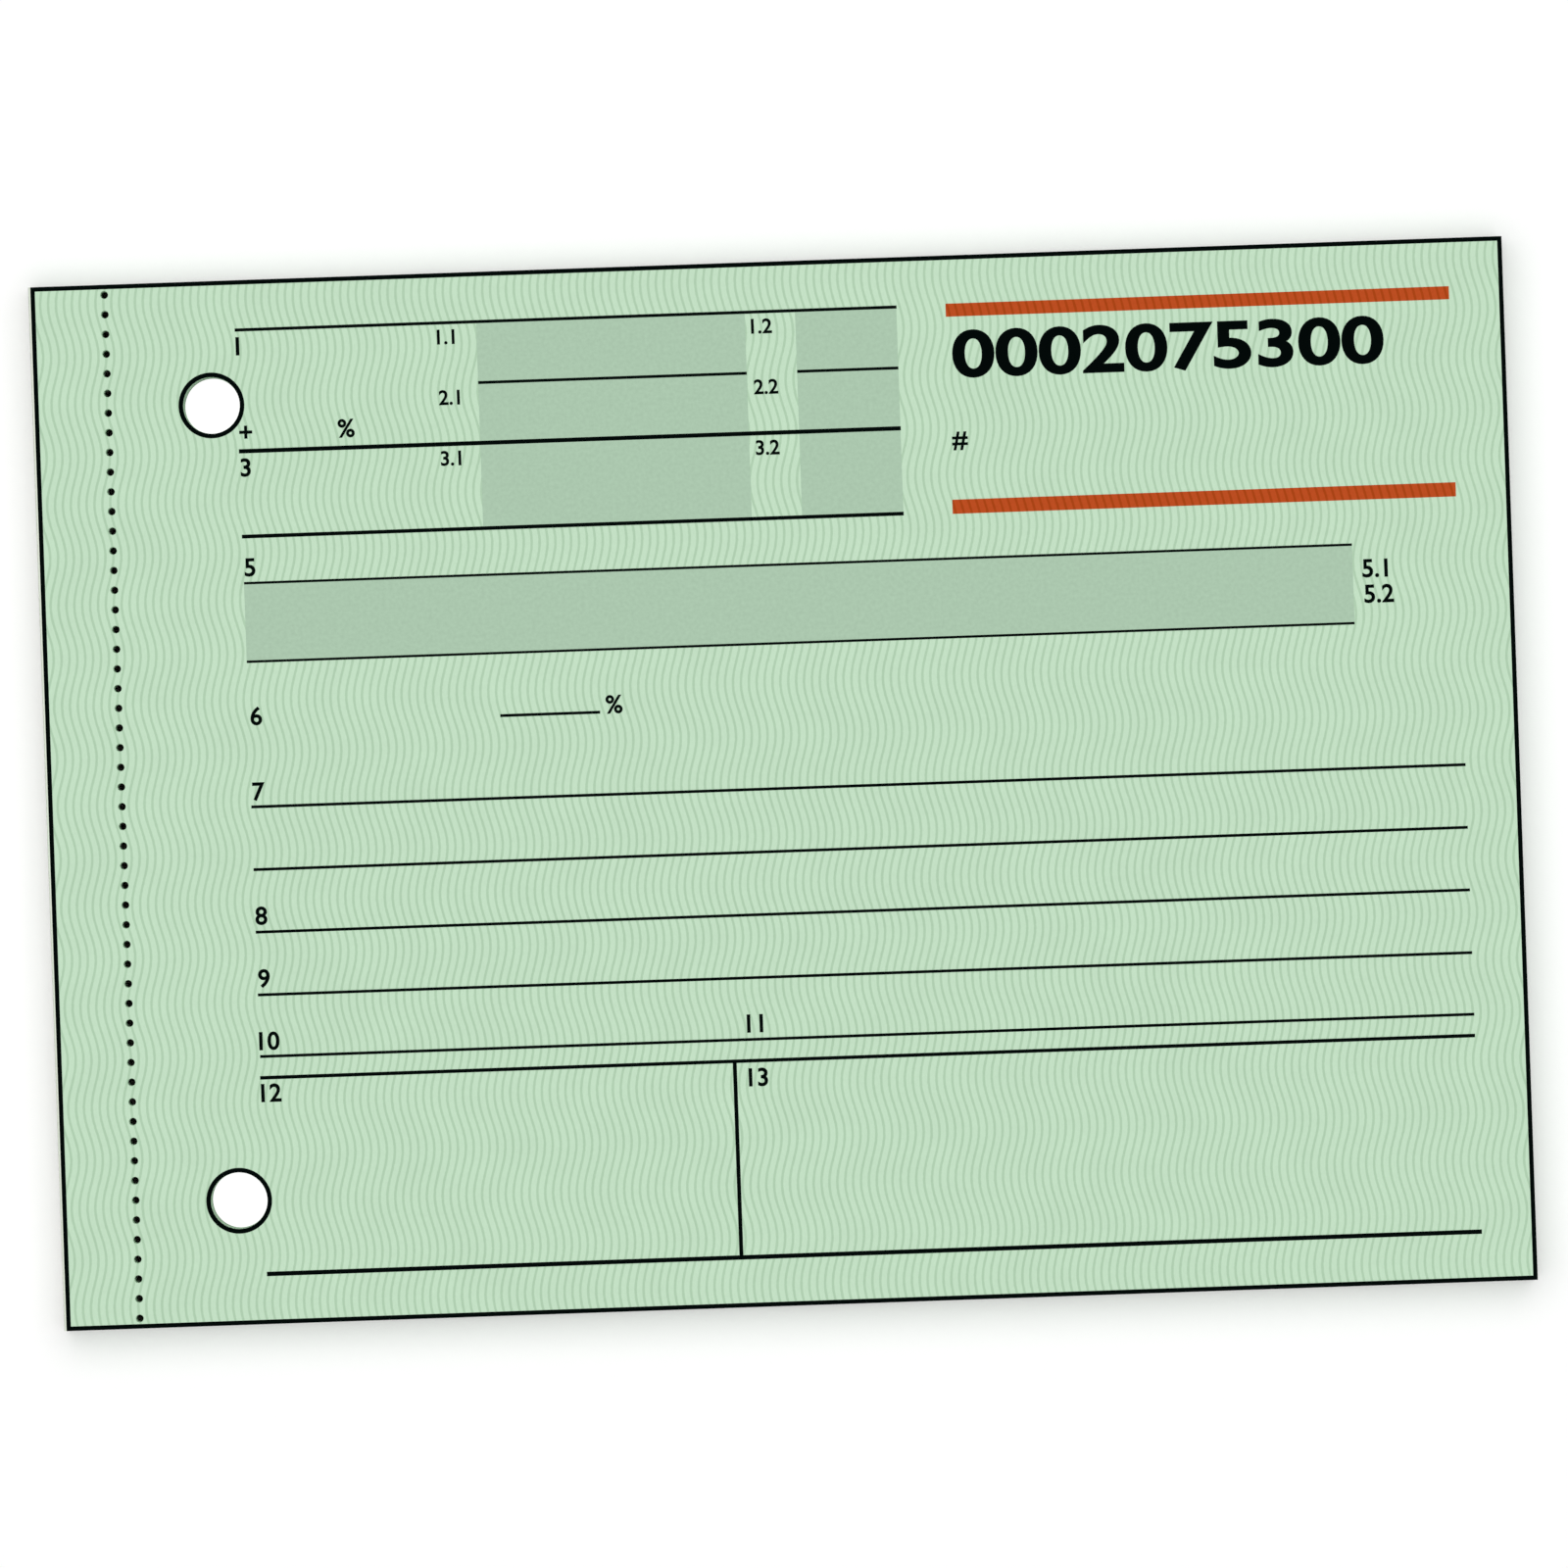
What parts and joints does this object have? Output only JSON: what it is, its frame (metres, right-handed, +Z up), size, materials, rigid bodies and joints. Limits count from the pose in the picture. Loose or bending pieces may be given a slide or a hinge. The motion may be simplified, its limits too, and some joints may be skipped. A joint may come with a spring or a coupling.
{
  "type": "cash receipt pad",
  "caption": "A6 landscape glued pad of pale green ruled receipt sheets on grey board, each sheet perforated near the bound edge and punched with filing holes.",
  "frame": {"origin": "middle of the footprint on the table, glue film included, at the underside of the backing board", "axes": "+X along the long side, away from the bound edge; +Y along the bound edge, towards the top of the form; +Z up, out of the writing face"},
  "size_m": [0.1484, 0.105, 0.0058],
  "materials": {
    "receipt_paper": "pale green uncoated writing paper",
    "grey_board": "grey recycled board",
    "padding_glue": "dried white padding glue"
  },
  "bodies": {
    "pad": {"backing_board": "grey_board", "spine_glue": "padding_glue", "stub_01": "receipt_paper", "stub_02": "receipt_paper", "stub_03": "receipt_paper", "sheet_04": "receipt_paper", "sheet_05": "receipt_paper", "sheet_06": "receipt_paper", "sheet_07": "receipt_paper", "sheet_08": "receipt_paper", "sheet_09": "receipt_paper", "sheet_10": "receipt_paper", "sheet_11": "receipt_paper", "sheet_12": "receipt_paper", "sheet_13": "receipt_paper", "sheet_14": "receipt_paper", "sheet_15": "receipt_paper", "sheet_16": "receipt_paper", "sheet_17": "receipt_paper", "sheet_18": "receipt_paper", "sheet_19": "receipt_paper", "sheet_20": "receipt_paper", "sheet_21": "receipt_paper", "sheet_22": "receipt_paper", "sheet_23": "receipt_paper", "sheet_24": "receipt_paper", "sheet_25": "receipt_paper", "sheet_26": "receipt_paper", "sheet_27": "receipt_paper", "sheet_28": "receipt_paper", "sheet_29": "receipt_paper", "sheet_30": "receipt_paper", "sheet_31": "receipt_paper", "sheet_32": "receipt_paper", "sheet_33": "receipt_paper", "sheet_34": "receipt_paper", "sheet_35": "receipt_paper", "sheet_36": "receipt_paper", "sheet_37": "receipt_paper", "sheet_38": "receipt_paper", "sheet_39": "receipt_paper", "sheet_40": "receipt_paper", "sheet_41": "receipt_paper", "sheet_42": "receipt_paper", "sheet_43": "receipt_paper", "sheet_44": "receipt_paper", "sheet_45": "receipt_paper", "sheet_46": "receipt_paper", "sheet_47": "receipt_paper", "sheet_48": "receipt_paper", "sheet_49": "receipt_paper", "sheet_50": "receipt_paper"},
    "leaf_3": {"leaf_03": "receipt_paper"},
    "leaf_2": {"leaf_02": "receipt_paper"},
    "leaf_1": {"leaf_01": "receipt_paper"}
  },
  "joints": [
    {"name": "leaf_3_turn", "type": "hinge", "parent": "pad", "child": "leaf_3", "pos_m": [-0.06645, 0, 0.0058], "axis": [0, -1, 0], "range_deg": [0, 180]},
    {"name": "leaf_2_turn", "type": "hinge", "parent": "leaf_3", "child": "leaf_2", "pos_m": [-0.06645, 0, 0.0058], "axis": [0, -1, 0], "range_deg": [0, 180]},
    {"name": "leaf_1_tear", "type": "slide", "parent": "leaf_2", "child": "leaf_1", "axis": [1, 0, 0], "range_m": [0, 0.145]}
  ]
}
